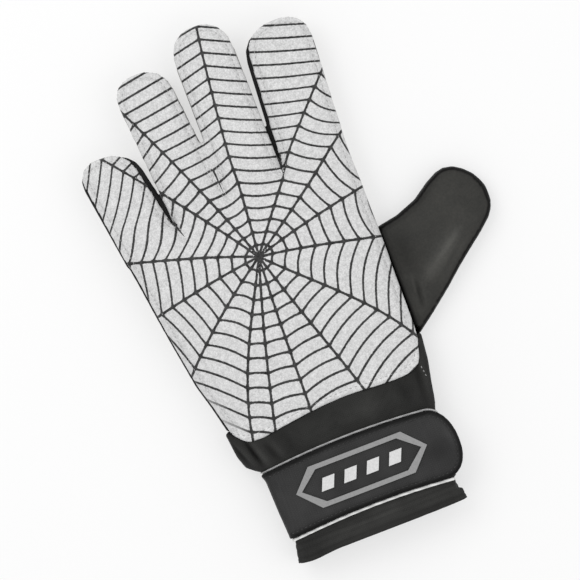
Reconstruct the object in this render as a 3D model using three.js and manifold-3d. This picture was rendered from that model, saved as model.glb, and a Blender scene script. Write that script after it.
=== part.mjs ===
// A left-hand goalkeeper glove lying on its palm, back of the hand upward.
// Millimetres. +Y runs to the fingertips, +X to the thumb, +Z up.
// The origin is on the flat underside of the palm, below the middle of the hand.

import * as THREE from "three";
import { mergeVertices } from "three/addons/utils/BufferGeometryUtils.js";
import Module from "manifold-3d";

const wasm = await Module();
wasm.setup();

// Driving sizes
const gloveLength = 264;
const handBreadth = 120;
const gloveThickness = 27;
const thumbReach = 116.5;
const thumbBreadth = 56;
const strapWidth = 34.4;

// Walls and clearances
const seamGap = 0.3;
const foamWall = 3.2;
const clothWall = 2.6;
const thumbWall = 2.6;
const strapThickness = 3;
const pipingHeight = 1.6;
const padThickness = 1.2;
const badgeThickness = 0.9;

// Levels of the seams that join the back, the side strips and the palm
const stripBottom = 5.5;
const stripTop = 13.6;
const thumbSeam = 6.4;
const waistLevel = 12.8;
const thumbWaist = 6.6;
const flatBelow = 0.6;
const stripInset = 0.5;
const stripTipInset = 1.4;
const leastDome = 1;

// Roundness of the sections: 2 is an ellipse, more is squarer
const handDome = 3;
const fingerDome = 2.5;
const thumbDome = 2.3;
const wristDome = 2.7;
const flatSole = 6;
const wristSole = 4;
const tipRound = 2.3;
const handPoints = 30;
const fingerPoints = 20;
const farOut = 200;

// Hand, from the wrist to the knuckles. Shares of the length, the breadth and the thickness.
const handRows = [
  { along: -0.318, left: -0.352, right: 0.474, top: 0.92, slant: 0 },
  { along: -0.282, left: -0.362, right: 0.482, top: 0.93, slant: 0 },
  { along: -0.222, left: -0.392, right: 0.49, top: 0.96, slant: 0 },
  { along: -0.176, left: -0.42, right: 0.493, top: 0.98, slant: 0 },
  { along: -0.092, left: -0.45, right: 0.497, top: 1, slant: 0 },
  { along: -0.019, left: -0.472, right: 0.499, top: 0.985, slant: 0.02 },
  { along: 0.05, left: -0.49, right: 0.499, top: 0.94, slant: 0.05 },
  { along: 0.1, left: -0.504, right: 0.5, top: 0.83, slant: 0.09 },
  { along: 0.133, left: -0.51, right: 0.5, top: 0.69, slant: 0.104 },
];

// How far the black side strip shows beyond the white back along the little-finger edge
const handStripLeft = 0.7;

// Fingers. Root and tip in shares of the breadth and the length, breadths of the hand's breadth,
// tip and thickness in shares of the finger's own breadth and of the glove's thickness.
const fingers = [
  { name: "little", rootX: -0.385, rootY: 0.076, tipX: -0.462, tipY: 0.284, rootWide: 0.247, endWide: 0.222,
    tip: 0.42, thick: 0.69, stripLeft: 0.5, stripRight: 2 },
  { name: "ring", rootX: -0.148, rootY: 0.1, tipX: -0.206, tipY: 0.406, rootWide: 0.242, endWide: 0.234,
    tip: 0.48, thick: 0.72, stripLeft: -0.5, stripRight: -0.5 },
  { name: "middle", rootX: 0.088, rootY: 0.1, tipX: 0.087, tipY: 0.45, rootWide: 0.256, endWide: 0.25,
    tip: 0.54, thick: 0.74, stripLeft: -0.5, stripRight: -0.5 },
  { name: "index", rootX: 0.358, rootY: 0.114, tipX: 0.4, tipY: 0.409, rootWide: 0.276, endWide: 0.276,
    tip: 0.42, thick: 0.72, stripLeft: 1.4, stripRight: -0.5 },
];

// Stations of a finger. The first is sunk in the hand, the rest follow the finger to its shoulder.
const fingerStations = [
  { share: 0, top: 1.04 },
  { share: 0.22, top: 1.08 },
  { share: 0.6, top: 1 },
  { share: 1, top: 0.94 },
];
const tipStations = [0.4, 0.7, 0.9, 0.98];

// The ring and middle fingers are joined further up than the others
const fingerBridge = [
  { along: 0.1, left: -0.1, right: 0, top: 0.7 },
  { along: 0.242, left: -0.075, right: -0.02, top: 0.62 },
];

// Creases where two fingers part
const creases = [
  { fromX: -0.27, fromY: 0.126, fromTop: 0.69, toX: -0.262, toY: 0.078, toTop: 0.83 },
  { fromX: -0.049, fromY: 0.245, fromTop: 0.64, toX: -0.036, toY: 0.136, toTop: 0.76 },
];
const creaseSize = 1.9;

// Wrist, from under the back panel to the hem
const wristRows = [
  { along: -0.215, left: -0.398, right: 0.51, floor: 0, top: 0.895 },
  { along: -0.282, left: -0.383, right: 0.494, floor: 0, top: 0.88 },
  { along: -0.324, left: -0.373, right: 0.474, floor: 0.033, top: 0.85 },
  { along: -0.348, left: -0.355, right: 0.465, floor: 0.085, top: 0.825 },
  { along: -0.361, left: -0.32, right: 0.458, floor: 0.122, top: 0.812 },
  { along: -0.37, left: -0.285, right: 0.451, floor: 0.122, top: 0.808 },
  { along: -0.385, left: -0.272, right: 0.443, floor: 0.122, top: 0.81 },
  { along: -0.445, left: -0.268, right: 0.44, floor: 0.122, top: 0.815 },
  { along: -0.497, left: -0.262, right: 0.432, floor: 0.125, top: 0.808 },
  { along: -0.512, left: -0.277, right: 0.434, floor: 0.12, top: 0.8 },
  { along: -0.546, left: -0.293, right: 0.443, floor: 0.06, top: 0.82 },
];

// Gathers at the little-finger side of the wrist, each a ridge that runs down to the strap
const gathers = [
  { upper: -0.352, lower: -0.298, halfWide: 2.6, lift: 1.5 },
  { upper: -0.3, lower: -0.262, halfWide: 2.8, lift: 1.3 },
  { upper: -0.235, lower: -0.222, halfWide: 3.4, lift: 0.8 },
];
const gatherStart = -0.276;
const gatherEnd = -0.36;

// Lower edge of the white back, in shares of the breadth and the length
const panelEdge = [
  { across: -0.7, along: -0.27 },
  { across: -0.42, along: -0.272 },
  { across: -0.36, along: -0.281 },
  { across: -0.3, along: -0.3055 },
  { across: -0.184, along: -0.301 },
  { across: -0.041, along: -0.2915 },
  { across: 0.122, along: -0.287 },
  { across: 0.285, along: -0.291 },
  { across: 0.387, along: -0.291 },
  { across: 0.447, along: -0.282 },
  { across: 0.47, along: -0.26 },
  { across: 0.487, along: -0.238 },
  { across: 0.56, along: -0.222 },
];
const panelEdgeSamples = 24;

// The side strips and the palm end on this straight line, higher at the thumb
const stripEdge = [
  { across: -0.9, along: -0.3025 },
  { across: 0.9, along: -0.2085 },
];

// Thumb, a row per section across it. Reach, breadth and thickness shares.
const thumbRows = [
  { out: 0.46, low: -1.11, high: -0.09, floor: 0, top: 0.5 },
  { out: 0.518, low: -1.092, high: -0.088, floor: 0, top: 0.5 },
  { out: 0.608, low: -0.954, high: -0.055, floor: 0, top: 0.53 },
  { out: 0.702, low: -0.8, high: 0.018, floor: 0, top: 0.555 },
  { out: 0.775, low: -0.67, high: 0.121, floor: 0, top: 0.56 },
  { out: 0.824, low: -0.589, high: 0.173, floor: 0, top: 0.55 },
  { out: 0.859, low: -0.532, high: 0.189, floor: 0, top: 0.54 },
  { out: 0.9, low: -0.468, high: 0.171, floor: 0, top: 0.52 },
  { out: 0.936, low: -0.405, high: 0.121, floor: 0.012, top: 0.48 },
  { out: 0.966, low: -0.35, high: 0.057, floor: 0.045, top: 0.425 },
  { out: 0.987, low: -0.286, high: -0.018, floor: 0.1, top: 0.36 },
  { out: 0.999, low: -0.214, high: -0.089, floor: 0.16, top: 0.29 },
];
const thumbCavityRows = 9;
const thumbDoor = { low: -64, high: -8, inner: 50, outer: 63 };

// Strap: the arched edges, the free end and where it stops under the hand
const strapMiddle = -0.4257;
const strapArch = 0.00135;
const strapArchMiddle = 10;
const strapStart = -60;
const strapSamples = 16;
const tabRoot = 46.5;
const tabReach = 12.9;
const tabNose = -0.4375;
const tabRoundAbove = 2.15;
const tabRoundBelow = 2.4;
const tabSamples = 16;
const strapSideReach = 7;
const strapUnderEnd = 44;
const strapUnderTop = 9.5;

// Pipings, along the upper and lower edge of the strap
const upperPipingWidth = 1.1;
const lowerPipingWidth = 1.5;
const upperPipingEnd = 50;
const lowerPipingEnd = 50.5;
const pipingBottom = 9.8;

// Fastener pad under the free end, in shares of the breadth and of the strap's width
const pad = { left: 0.233, right: 0.383, halfWide: 0.256 };

// Slit in the thumb side of the cuff
const slit = { inner: 44, upper: -106, lower: 8.4, height: 0.8 };

// Plain figure on the strap: a long hexagon with slanted bars in it
const badge = { x: 9.8, halfLong: 34, halfHigh: 10.6, point: 10, border: 2.3, pointBorder: 3 };
const bar = { count: 4, wide: 6.2, pitch: 11.6, halfHigh: 3.1, slant: 2.6 };

const strapLiner = seamGap;
const strapFace = strapLiner + strapThickness;

// A geometry as a solid, and back
function solidOf(geometry) {
  const bare = geometry.clone();
  bare.deleteAttribute("normal");
  bare.deleteAttribute("uv");
  const merged = mergeVertices(bare);
  const mesh = new wasm.Mesh({
    numProp: 3,
    vertProperties: new Float32Array(merged.attributes.position.array),
    triVerts: new Uint32Array(merged.index.array),
  });
  return new wasm.Manifold(mesh);
}

function geometryOf(solid) {
  const mesh = solid.getMesh();
  const geometry = new THREE.BufferGeometry();
  geometry.setAttribute("position", new THREE.BufferAttribute(new Float32Array(mesh.vertProperties), 3));
  geometry.setIndex(new THREE.BufferAttribute(new Uint32Array(mesh.triVerts), 1));
  geometry.computeVertexNormals();
  return geometry;
}

// The largest body of a cut solid, without loose slivers
function mainBody(solid) {
  const bodies = solid.decompose();
  return bodies.reduce((largest, body) => (body.volume() > largest.volume() ? body : largest));
}

function box(minX, maxX, minY, maxY, minZ, maxZ) {
  const geometry = new THREE.BoxGeometry(maxX - minX, maxY - minY, maxZ - minZ);
  geometry.translate((minX + maxX) / 2, (minY + maxY) / 2, (minZ + maxZ) / 2);
  return solidOf(geometry);
}

// An outline in plan, raised between two levels
function prism(outline, low, high) {
  const shape = new THREE.Shape(outline);
  const geometry = new THREE.ExtrudeGeometry(shape, { depth: high - low, bevelEnabled: false });
  geometry.translate(0, 0, low);
  return solidOf(geometry);
}

// One cross-section: a flat sole up to the waist, a dome above it
function sectionOutline(row, shape) {
  const middle = (row.left + row.right) / 2;
  const half = (row.right - row.left) / 2;
  const outline = [];
  for (let i = 0; i < shape.points; i += 1) {
    const turn = (i / shape.points) * 2 * Math.PI;
    const across = Math.cos(turn);
    const up = Math.sin(turn);
    const power = up >= 0 ? shape.dome : shape.sole;
    const rise = up >= 0 ? row.top - row.waist : row.waist - row.floor;
    outline.push([
      middle + half * Math.sign(across) * Math.abs(across) ** (2 / power),
      row.waist + rise * Math.sign(up) * Math.abs(up) ** (2 / power),
    ]);
  }
  return outline;
}

// A closed skin over a row of sections, with a flat cap at each end
function loft(rows, shape, place) {
  const positions = [];
  const indices = [];
  rows.forEach((row) => {
    sectionOutline(row, shape).forEach(([across, up]) => {
      positions.push(...place(row, across, up).toArray());
    });
  });
  const count = shape.points;
  for (let r = 0; r + 1 < rows.length; r += 1) {
    for (let i = 0; i < count; i += 1) {
      const next = (i + 1) % count;
      const a = r * count + i;
      const b = r * count + next;
      const c = a + count;
      const d = b + count;
      indices.push(a, b, d, a, d, c);
    }
  }
  const last = (rows.length - 1) * count;
  for (let i = 1; i + 1 < count; i += 1) {
    indices.push(0, i + 1, i);
    indices.push(last, last + i, last + i + 1);
  }
  const geometry = new THREE.BufferGeometry();
  geometry.setAttribute("position", new THREE.Float32BufferAttribute(positions, 3));
  geometry.setIndex(facingOut(positions, indices));
  return solidOf(geometry);
}

// The same triangles, turned over where the skin would face inward
function facingOut(positions, indices) {
  let volume = 0;
  const corner = (index) => new THREE.Vector3().fromArray(positions, index * 3);
  for (let i = 0; i < indices.length; i += 3) {
    volume += corner(indices[i]).dot(corner(indices[i + 1]).cross(corner(indices[i + 2])));
  }
  if (volume > 0) return indices;
  const turned = [];
  for (let i = 0; i < indices.length; i += 3) {
    turned.push(indices[i], indices[i + 2], indices[i + 1]);
  }
  return turned;
}

// A row moved out by `grow`, or in where it is negative
function grown(row, grow) {
  const floor = grow < 0 ? Math.max(row.floor, 0) - grow : row.floor - grow;
  return { ...row, left: row.left - grow, right: row.right + grow, floor, top: row.top + grow };
}

function unionOf(solids) {
  return solids.reduce((whole, solid) => whole.add(solid));
}

const aboveGround = box(-farOut, farOut, -farOut, farOut, 0, farOut);

// Hand
const handShape = { points: handPoints, dome: handDome, sole: flatSole };
const slanted = (row, across, up) => new THREE.Vector3(across, row.along + row.slant * across, up);
const straight = (row, across, up) => new THREE.Vector3(across, row.along, up);

const handSections = handRows.map((row) => ({
  along: row.along * gloveLength,
  left: row.left * handBreadth,
  right: row.right * handBreadth,
  top: row.top * gloveThickness,
  slant: row.slant,
  floor: -flatBelow,
  waist: waistLevel,
}));

function handLoft(leftGrow, grow) {
  const rows = handSections.map((row) => ({ ...grown(row, grow), left: row.left - leftGrow }));
  return loft(rows, handShape, slanted);
}

// Fingers
const fingerShape = { points: fingerPoints, dome: fingerDome, sole: flatSole };

function fingerSections(finger, leftGrow, rightGrow, tipGrow, grow) {
  const rootX = finger.rootX * handBreadth;
  const rootY = finger.rootY * gloveLength;
  const tipX = finger.tipX * handBreadth;
  const tipY = finger.tipY * gloveLength + tipGrow;
  const tipLength = finger.endWide * handBreadth * finger.tip;
  const shoulderY = tipY - tipLength;
  const thick = finger.thick * gloveThickness;
  const sectionAt = (y, topShare, tipShare) => {
    const share = (y - rootY) / (tipY - rootY);
    const width = THREE.MathUtils.lerp(finger.rootWide, finger.endWide, share) * handBreadth;
    const middle = THREE.MathUtils.lerp(rootX, tipX, share);
    const left = middle - width / 2 - leftGrow;
    const right = middle + width / 2 + rightGrow;
    const floor = grow < 0 ? -grow : -flatBelow - grow;
    const top = Math.max(thick * topShare + grow, waistLevel + leastDome);
    const lerp = THREE.MathUtils.lerp;
    return {
      along: y,
      left: lerp((left + right) / 2, left, tipShare),
      right: lerp((left + right) / 2, right, tipShare),
      floor: lerp(waistLevel, floor, Math.sqrt(tipShare)),
      top: lerp(waistLevel, top, tipShare),
      waist: waistLevel,
    };
  };
  const rows = fingerStations.map((station) => (
    sectionAt(THREE.MathUtils.lerp(rootY, shoulderY, station.share), station.top, 1)
  ));
  const shoulderTop = fingerStations.at(-1).top;
  tipStations.forEach((t) => {
    rows.push(sectionAt(shoulderY + tipLength * t, shoulderTop, (1 - t ** tipRound) ** (1 / tipRound)));
  });
  return rows;
}

function fingerLoft(finger, leftGrow, rightGrow, tipGrow, grow) {
  return loft(fingerSections(finger, leftGrow, rightGrow, tipGrow, grow), fingerShape, straight);
}

// The low join between the ring and middle fingers
function bridgeLoft(grow) {
  const rows = fingerBridge.map((row) => grown({
    along: row.along * gloveLength,
    left: row.left * handBreadth,
    right: row.right * handBreadth,
    top: row.top * gloveThickness,
    floor: -flatBelow,
    waist: waistLevel,
  }, grow));
  return loft(rows, fingerShape, straight);
}

function handOutside(grow) {
  const parts = [handLoft(grow, grow), bridgeLoft(grow)];
  fingers.forEach((finger) => parts.push(fingerLoft(finger, grow, grow, grow, grow)));
  return unionOf(parts).intersect(aboveGround);
}

function stripOutside() {
  const parts = [handLoft(handStripLeft, -stripInset), bridgeLoft(-stripInset)];
  fingers.forEach((finger) => {
    parts.push(fingerLoft(finger, finger.stripLeft, finger.stripRight, -stripTipInset, -stripInset));
  });
  return unionOf(parts);
}

// Wrist
const wristShape = { points: handPoints, dome: wristDome, sole: wristSole };
const wristSections = wristRows.map((row) => ({
  along: row.along * gloveLength,
  left: row.left * handBreadth,
  right: row.right * handBreadth,
  floor: row.floor > 0 ? row.floor * gloveThickness : -flatBelow,
  top: row.top * gloveThickness,
  waist: waistLevel,
}));

function gatherLift(x, y) {
  const start = gatherStart * gloveLength;
  const end = gatherEnd * gloveLength;
  const share = (y - start) / (end - start);
  if (share <= 0 || share >= 1) return 0;
  return gathers.reduce((lift, fold) => {
    const middle = THREE.MathUtils.lerp(fold.upper, fold.lower, share) * handBreadth;
    const away = (x - middle) / fold.halfWide;
    return lift + fold.lift * Math.sin(Math.PI * share) * Math.exp(-away * away);
  }, 0);
}

function gathered(row, across, up) {
  const lift = up > waistLevel ? gatherLift(across, row.along) : 0;
  return new THREE.Vector3(across, row.along, up + lift);
}

function withExtraRows(rows) {
  const finer = [];
  rows.forEach((row, i) => {
    finer.push(row);
    const next = rows[i + 1];
    if (!next || row.along < gatherEnd * gloveLength) return;
    const mid = {};
    Object.keys(row).forEach((key) => {
      mid[key] = (row[key] + next[key]) / 2;
    });
    finer.push(mid);
  });
  return finer;
}

const wristOutside = loft(withExtraRows(wristSections), wristShape, gathered).intersect(aboveGround);

// The space for the hand, from the open hem to the fingertips
function handHollow() {
  const wristPart = wristSections.filter((row) => row.along < -0.28 * gloveLength)
    .map((row) => grown(row, -clothWall));
  const handPart = handSections.filter((row) => row.along > -0.18 * gloveLength)
    .map((row) => grown(row, -foamWall));
  const knuckleEnd = handPart.at(-1);
  knuckleEnd.along -= foamWall;
  const mouth = { ...wristPart.at(-1), along: -farOut };
  const rows = [...handPart.reverse(), ...wristPart, mouth].map((row) => ({ slant: 0, ...row }));
  const parts = [loft(rows, wristShape, slanted)];
  fingers.forEach((finger) => {
    parts.push(fingerLoft(finger, -foamWall, -foamWall, -foamWall, -foamWall));
  });
  return unionOf(parts);
}

// Regions that share the hand out among its panels
function offsetCurve(points, offset) {
  return points.map((point, i) => {
    const before = points[Math.max(i - 1, 0)];
    const after = points[Math.min(i + 1, points.length - 1)];
    const along = new THREE.Vector2().subVectors(after, before).normalize();
    return new THREE.Vector2(point.x - along.y * offset, point.y + along.x * offset);
  });
}

function planPoints(table) {
  return table.map((row) => new THREE.Vector2(row.across * handBreadth, row.along * gloveLength));
}

function regionAbove(points, low, high) {
  const outline = [...points, new THREE.Vector2(farOut, farOut), new THREE.Vector2(-farOut, farOut)];
  return prism(outline, low, high);
}

const panelCurve = new THREE.SplineCurve(planPoints(panelEdge)).getPoints(panelEdgeSamples);
const stripLine = planPoints(stripEdge);

// Thumb
const thumbShape = { points: fingerPoints, dome: thumbDome, sole: flatSole };
const outward = (row, across, up) => new THREE.Vector3(row.along, across, up);
const thumbSections = thumbRows.map((row) => ({
  along: row.out * thumbReach,
  left: row.low * thumbBreadth,
  right: row.high * thumbBreadth,
  floor: row.floor > 0 ? row.floor * gloveThickness : -flatBelow,
  top: row.top * gloveThickness,
  waist: thumbWaist,
}));

function thumbHollow() {
  const rows = thumbSections.slice(0, thumbCavityRows).map((row) => grown(row, -thumbWall));
  return loft(rows, thumbShape, outward);
}

function thumbShell() {
  const outside = loft(thumbSections, thumbShape, outward).intersect(aboveGround);
  const cleared = outside.subtract(handOutside(seamGap)).subtract(wristClearance());
  return cleared.subtract(thumbHollow());
}

function wristClearance() {
  const rows = wristSections.map((row) => grown(row, seamGap));
  return loft(rows, wristShape, straight);
}

function thumbBetween(low, high) {
  return thumbShell().intersect(box(0, farOut, -farOut, farOut, low, high));
}

// Creases in the white back where two fingers part
function creaseCutters() {
  const diamond = new THREE.Shape([
    new THREE.Vector2(creaseSize, 0),
    new THREE.Vector2(0, creaseSize),
    new THREE.Vector2(-creaseSize, 0),
    new THREE.Vector2(0, -creaseSize),
  ]);
  return creases.map((crease) => {
    const from = new THREE.Vector3(crease.fromX * handBreadth, crease.fromY * gloveLength,
      crease.fromTop * gloveThickness);
    const to = new THREE.Vector3(crease.toX * handBreadth, crease.toY * gloveLength,
      crease.toTop * gloveThickness);
    const path = new THREE.LineCurve3(from, to);
    return solidOf(new THREE.ExtrudeGeometry(diamond, { steps: 1, extrudePath: path }));
  });
}

// The way from the hand into the thumb
const door = box(thumbDoor.inner, thumbDoor.outer, thumbDoor.low, thumbDoor.high,
  foamWall, stripTop + seamGap);

const hollow = handHollow();
const handShell = handOutside(0).subtract(hollow);

function backPanel() {
  const region = regionAbove(panelCurve, stripTop + seamGap, farOut);
  return creaseCutters().reduce((panel, cutter) => panel.subtract(cutter), handShell.intersect(region));
}

function palmPanel() {
  return handShell.intersect(regionAbove(stripLine, 0, stripBottom)).subtract(door);
}

// Black strips between the back and the palm, parted at the fingertips
const knuckleLine = 0.1 * gloveLength;
const handEdgeEnd = 0.055 * gloveLength;
const fingertip = Object.fromEntries(fingers.map((finger) => [
  finger.name,
  { x: finger.tipX * handBreadth, y: finger.tipY * gloveLength },
]));

function stripBetween(strips, leftFinger, rightFinger) {
  const left = leftFinger ? fingertip[leftFinger] : null;
  const right = rightFinger ? fingertip[rightFinger] : null;
  const minX = left ? left.x + seamGap / 2 : 0;
  const maxX = right ? right.x - seamGap / 2 : farOut;
  if (!left) {
    const besideHand = box(-farOut, 0, -farOut, handEdgeEnd, 0, farOut);
    return strips.intersect(box(-farOut, maxX, -farOut, farOut, 0, farOut).add(besideHand));
  }
  return strips.intersect(box(minX, maxX, right ? knuckleLine : -farOut, farOut, 0, farOut));
}

function sideStrips() {
  const low = stripBottom + seamGap;
  return stripOutside().intersect(regionAbove(stripLine, low, stripTop)).subtract(hollow).subtract(door);
}

// The wrist keeps clear of the panels that are sewn to it
function wristSleeve() {
  const aboveCurve = regionAbove(offsetCurve(panelCurve, -seamGap), stripTop, farOut);
  const aboveLine = regionAbove(offsetCurve(stripLine, -seamGap), -farOut, stripTop + seamGap);
  const opening = box(slit.inner, farOut, -farOut, slit.upper, slit.lower, slit.lower + slit.height);
  return wristOutside.subtract(aboveCurve).subtract(aboveLine).subtract(hollow).subtract(opening);
}

// Strap
const strapSections = wristSections.filter((row) => row.along < -0.33 * gloveLength)
  .map((row) => ({ ...row, right: row.right + strapSideReach }));

function strapLoft(grow) {
  return loft(strapSections.map((row) => grown(row, grow)), wristShape, straight);
}

function strapEdge(x, side) {
  const away = x - strapArchMiddle;
  return strapMiddle * gloveLength + side * (strapWidth / 2) - strapArch * away * away;
}

// A band in plan between the strap's edges moved out or in, up to a free end
function edgeBand(toX, upperOf, lowerOf) {
  const upper = [];
  const lower = [];
  for (let i = 0; i <= strapSamples; i += 1) {
    const x = THREE.MathUtils.lerp(strapStart, toX, i / strapSamples);
    upper.push(new THREE.Vector2(x, upperOf(x)));
    lower.unshift(new THREE.Vector2(x, lowerOf(x)));
  }
  return { upper, lower };
}

function strapPlan() {
  const { upper, lower } = edgeBand(tabRoot, (x) => strapEdge(x, 1), (x) => strapEdge(x, -1));
  const nose = tabNose * gloveLength;
  const end = [];
  for (let i = 1; i < tabSamples; i += 1) {
    const turn = Math.PI / 2 - (i / tabSamples) * Math.PI;
    const up = Math.sin(turn);
    const side = up >= 0 ? 1 : -1;
    const power = 2 / (up >= 0 ? tabRoundAbove : tabRoundBelow);
    end.push(new THREE.Vector2(
      tabRoot + tabReach * Math.cos(turn) ** power,
      nose + (strapEdge(tabRoot, side) - nose) * Math.abs(up) ** power,
    ));
  }
  return [...upper, ...end, ...lower];
}

function padBox(grow) {
  const middle = strapMiddle * gloveLength;
  const half = pad.halfWide * strapWidth + grow;
  return box(pad.left * handBreadth - grow, pad.right * handBreadth + grow, middle - half, middle + half,
    waistLevel, farOut);
}

function closureStrap() {
  const wrap = strapLoft(strapFace).subtract(strapLoft(strapLiner));
  const underside = box(strapUnderEnd, farOut, -farOut, farOut, -farOut, strapUnderTop);
  const recess = strapLoft(strapLiner + padThickness + seamGap).intersect(padBox(seamGap));
  return wrap.intersect(prism(strapPlan(), 0, farOut)).subtract(underside).subtract(recess);
}

function strapFastener() {
  return strapLoft(strapLiner + padThickness).subtract(strapLoft(strapLiner)).intersect(padBox(0));
}

function piping(endX, upperOf, lowerOf) {
  const { upper, lower } = edgeBand(endX, upperOf, lowerOf);
  const skin = strapLoft(seamGap + pipingHeight).subtract(strapLoft(seamGap));
  return skin.intersect(prism([...upper, ...lower], pipingBottom, farOut));
}

function upperPiping() {
  const lowerOf = (x) => strapEdge(x, 1) + seamGap;
  return piping(upperPipingEnd, (x) => lowerOf(x) + upperPipingWidth, lowerOf);
}

function lowerPiping() {
  const upperOf = (x) => strapEdge(x, -1) - seamGap;
  return piping(lowerPipingEnd, upperOf, (x) => upperOf(x) - lowerPipingWidth);
}

// Badge
const badgeY = strapMiddle * gloveLength;
const badgeBottom = strapFace + seamGap;
const badgeSkin = strapLoft(badgeBottom + badgeThickness).subtract(strapLoft(badgeBottom));

function hexagon(inset) {
  const long = badge.halfLong - (inset / badge.border) * badge.pointBorder;
  const high = badge.halfHigh - inset;
  return [[-long, 0], [-long + badge.point, high], [long - badge.point, high], [long, 0],
    [long - badge.point, -high], [-long + badge.point, -high]]
    .map(([x, y]) => new THREE.Vector2(badge.x + x, badgeY + y));
}

function badgeFrame() {
  const rim = prism(hexagon(0), waistLevel, farOut).subtract(prism(hexagon(badge.border), 0, farOut));
  return badgeSkin.intersect(rim);
}

function badgeBar(index) {
  const middle = badge.x + (index - (bar.count - 1) / 2) * bar.pitch;
  const corner = (side, end) => new THREE.Vector2(
    middle + (side * bar.wide) / 2 + (end * bar.slant) / 2,
    badgeY + end * bar.halfHigh,
  );
  const outline = [corner(-1, -1), corner(1, -1), corner(1, 1), corner(-1, 1)];
  return badgeSkin.intersect(prism(outline, waistLevel, farOut));
}

// Materials
const looks = {
  panel: { color: "#d9d9d9", roughness: 0.72 },
  latex: { color: "#c9c8c4", roughness: 0.85 },
  strip: { color: "#171717", roughness: 0.8 },
  thumb: { color: "#363533", roughness: 0.5 },
  sleeve: { color: "#2e2e2c", roughness: 0.8 },
  strap: { color: "#3a3a39", roughness: 0.6 },
  piping: { color: "#d2d2d2", roughness: 0.6 },
  pad: { color: "#161616", roughness: 0.9 },
  badge: { color: "#9c9c9c", roughness: 0.55 },
  bars: { color: "#e6e6e6", roughness: 0.55 },
};

const glove = new THREE.Group();

function addPiece(name, solid, look) {
  const material = new THREE.MeshStandardMaterial({ ...looks[look], metalness: 0 });
  const mesh = new THREE.Mesh(geometryOf(mainBody(solid)), material);
  mesh.name = name;
  glove.add(mesh);
}

const strips = sideStrips();
addPiece("back_panel", backPanel(), "panel");
addPiece("palm_panel", palmPanel(), "latex");
addPiece("little_side_strip", stripBetween(strips, null, "little"), "strip");
addPiece("ring_little_fourchette", stripBetween(strips, "little", "ring"), "strip");
addPiece("middle_ring_fourchette", stripBetween(strips, "ring", "middle"), "strip");
addPiece("index_middle_fourchette", stripBetween(strips, "middle", "index"), "strip");
addPiece("index_side_strip", stripBetween(strips, "index", null), "strip");
addPiece("thumb_back", thumbBetween(thumbSeam + seamGap / 2, farOut), "thumb");
addPiece("thumb_palm", thumbBetween(0, thumbSeam - seamGap / 2), "thumb");
addPiece("wrist_sleeve", wristSleeve(), "sleeve");
addPiece("closure_strap", closureStrap(), "strap");
addPiece("strap_upper_piping", upperPiping(), "piping");
addPiece("strap_lower_piping", lowerPiping(), "piping");
addPiece("strap_fastener", strapFastener(), "pad");
addPiece("badge_frame", badgeFrame(), "badge");
for (let i = 0; i < bar.count; i += 1) {
  addPiece(`badge_bar_${i + 1}`, badgeBar(i), "bars");
}

export default glove;
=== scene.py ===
import math
import bpy
import bmesh
import numpy as np
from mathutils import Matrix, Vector, kdtree, noise
from mathutils.bvhtree import BVHTree


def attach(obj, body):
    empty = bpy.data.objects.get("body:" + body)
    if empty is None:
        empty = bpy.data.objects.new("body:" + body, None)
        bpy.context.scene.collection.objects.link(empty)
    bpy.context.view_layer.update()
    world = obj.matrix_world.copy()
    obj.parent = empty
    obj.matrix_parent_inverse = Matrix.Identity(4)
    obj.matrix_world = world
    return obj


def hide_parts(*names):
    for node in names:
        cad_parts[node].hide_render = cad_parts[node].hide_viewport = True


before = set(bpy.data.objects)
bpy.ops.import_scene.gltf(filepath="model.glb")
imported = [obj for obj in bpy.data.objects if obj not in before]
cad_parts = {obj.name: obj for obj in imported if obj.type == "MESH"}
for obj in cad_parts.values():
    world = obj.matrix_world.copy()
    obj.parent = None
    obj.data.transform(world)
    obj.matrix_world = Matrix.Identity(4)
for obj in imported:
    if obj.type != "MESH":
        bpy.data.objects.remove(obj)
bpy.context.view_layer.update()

mm = 0.001


# small helpers for material nodes

def startMaterial(name, color, roughness, sheen=0.0, specular=0.5):
    material = bpy.data.materials.new(name)
    material.use_nodes = True
    shader = material.node_tree.nodes["Principled BSDF"]
    shader.inputs["Base Color"].default_value = (*color, 1)
    shader.inputs["Roughness"].default_value = roughness
    shader.inputs["Specular IOR Level"].default_value = specular
    shader.inputs["Sheen Weight"].default_value = sheen
    shader.inputs["Sheen Roughness"].default_value = 0.5
    return material, shader


def addNode(material, kind, **inputs):
    node = material.node_tree.nodes.new(kind)
    for name, value in inputs.items():
        node.inputs[name].default_value = value
    return node


def join(material, fromSocket, toSocket):
    material.node_tree.links.new(fromSocket, toSocket)


def objectCoords(material):
    return material.node_tree.nodes.new("ShaderNodeTexCoord").outputs["Object"]


def mathNode(material, operation, first, second=None, clamp=False):
    node = material.node_tree.nodes.new("ShaderNodeMath")
    node.operation = operation
    node.use_clamp = clamp
    for index, value in enumerate((first, second)):
        if value is None:
            continue
        if isinstance(value, (int, float)):
            node.inputs[index].default_value = value
        else:
            join(material, value, node.inputs[index])
    return node.outputs[0]


def noiseFactor(material, coords, size, detail=3.0, roughness=0.55):
    node = addNode(material, "ShaderNodeTexNoise", Scale=1 / size, Detail=detail, Roughness=roughness)
    join(material, coords, node.inputs["Vector"])
    return node.outputs["Fac"]


def grainFactor(material, coords, size):
    node = addNode(material, "ShaderNodeTexVoronoi", Scale=1 / size)
    join(material, coords, node.inputs["Vector"])
    return node.outputs["Distance"]


def bumpFrom(material, height, strength, distance, under=None):
    node = addNode(material, "ShaderNodeBump", Strength=strength, Distance=distance)
    join(material, height, node.inputs["Height"])
    if under is not None:
        join(material, under, node.inputs["Normal"])
    return node.outputs["Normal"]


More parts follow.
